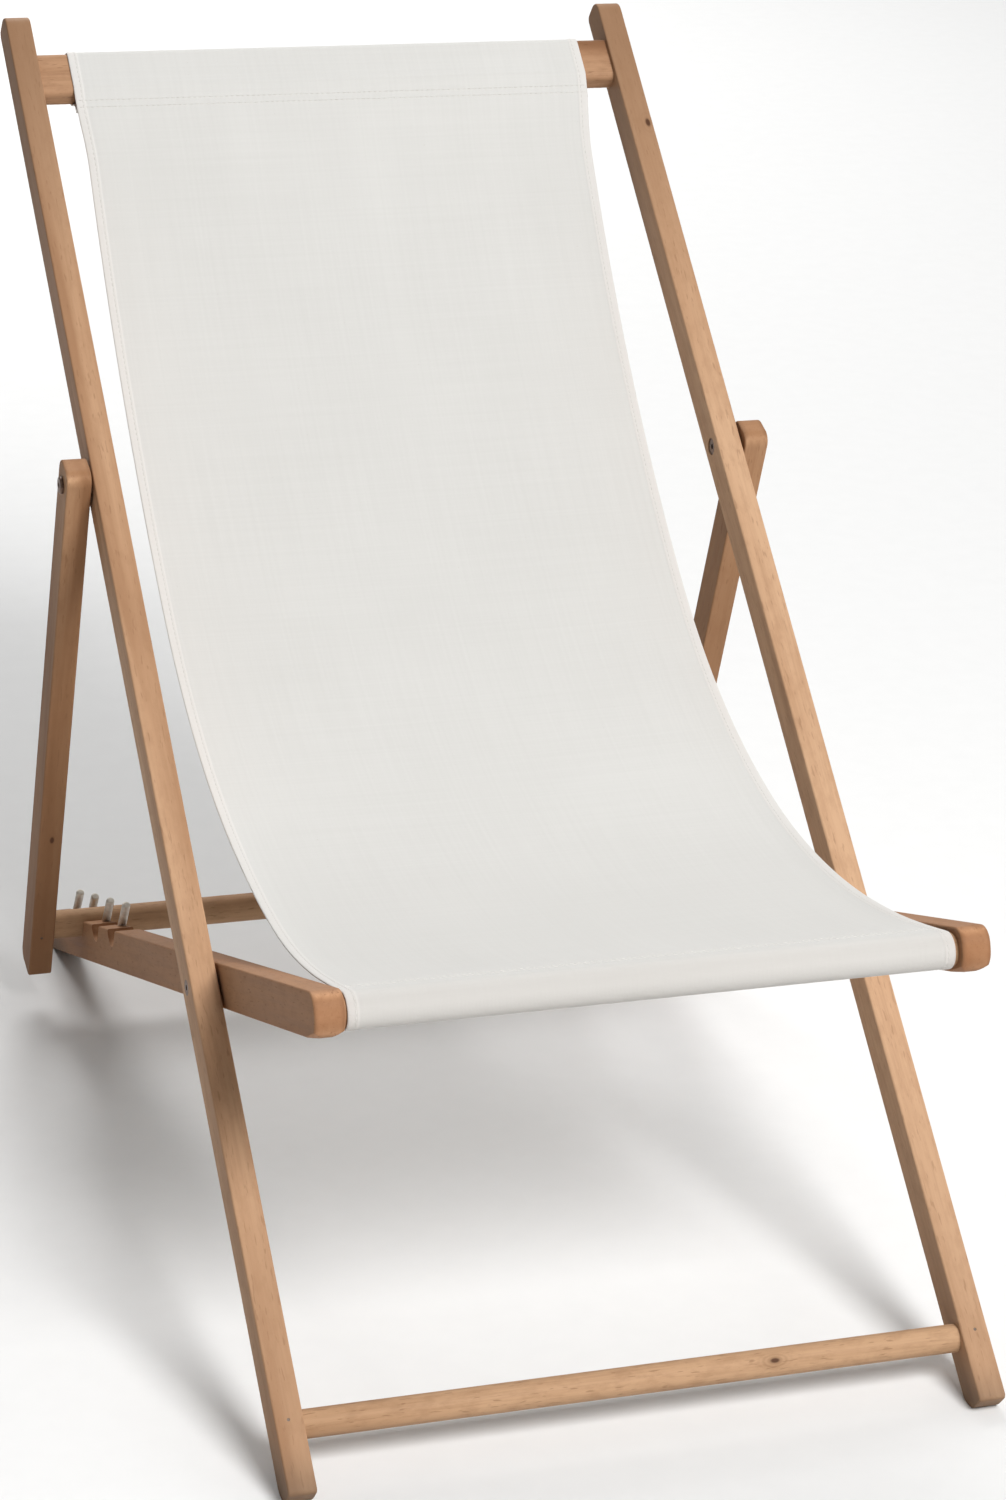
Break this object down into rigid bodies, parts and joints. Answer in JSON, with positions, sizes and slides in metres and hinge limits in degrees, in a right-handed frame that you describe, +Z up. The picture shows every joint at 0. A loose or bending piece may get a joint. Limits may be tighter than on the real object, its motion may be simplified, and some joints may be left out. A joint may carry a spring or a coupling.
{
  "type": "folding deck chair",
  "caption": "Folding wooden deck chair: a canvas sling hangs between a long back frame and a crossed seat frame, with a prop whose crossbar drops into notches.",
  "frame": {"origin": "on the floor, under the middle of the chair's overall box", "axes": "+Z up, -Y towards the front where the sitter's legs are, +X to the right seen from the front"},
  "size_m": [0.5894, 1.017, 0.815],
  "materials": {
    "oiled_wood": "oiled, satin, planed rails with eased edges",
    "turned_wood": "oiled, satin, turned dowels",
    "canvas": "undyed woven cotton canvas, hemmed",
    "browned_steel": "browned, dull",
    "zinc_steel": "zinc plated, dull"
  },
  "bodies": {
    "back_frame": {"left_back_rail": "oiled_wood", "right_back_rail": "oiled_wood", "top_rail": "oiled_wood", "top_rail_brads": "zinc_steel", "foot_dowel": "turned_wood", "foot_dowel_brads": "zinc_steel", "left_seat_pivot_bolt": "browned_steel", "left_seat_pivot_washer": "browned_steel", "left_seat_pivot_nut": "browned_steel", "left_prop_pivot_bolt": "browned_steel", "left_prop_pivot_washer": "browned_steel", "left_prop_pivot_nut": "browned_steel", "right_seat_pivot_bolt": "browned_steel", "right_seat_pivot_washer": "browned_steel", "right_seat_pivot_nut": "browned_steel", "right_prop_pivot_bolt": "browned_steel", "right_prop_pivot_washer": "browned_steel", "right_prop_pivot_nut": "browned_steel", "sling": "canvas"},
    "seat_frame": {"left_seat_rail": "oiled_wood", "right_seat_rail": "oiled_wood", "front_bar": "turned_wood", "front_bar_brads": "zinc_steel", "left_recline_pegs": "zinc_steel", "right_recline_pegs": "zinc_steel"},
    "prop_frame": {"left_prop_strut": "oiled_wood", "right_prop_strut": "oiled_wood", "prop_dowel": "turned_wood", "prop_dowel_brads": "zinc_steel"}
  },
  "joints": [
    {"name": "seat_fold", "type": "hinge", "parent": "back_frame", "child": "seat_frame", "pos_m": [0, -0.19314, 0.25068], "axis": [-1, 0, 0], "range_deg": [0, 115], "deforming": ["sling"]},
    {"name": "prop_fold", "type": "hinge", "parent": "back_frame", "child": "prop_frame", "pos_m": [0, 0.14834, 0.52497], "axis": [-1, 0, 0], "range_deg": [0, 64.6]}
  ],
  "couplings": [
    {"joint": "prop_fold", "follows": "seat_fold", "ratio": 0.5611}
  ]
}
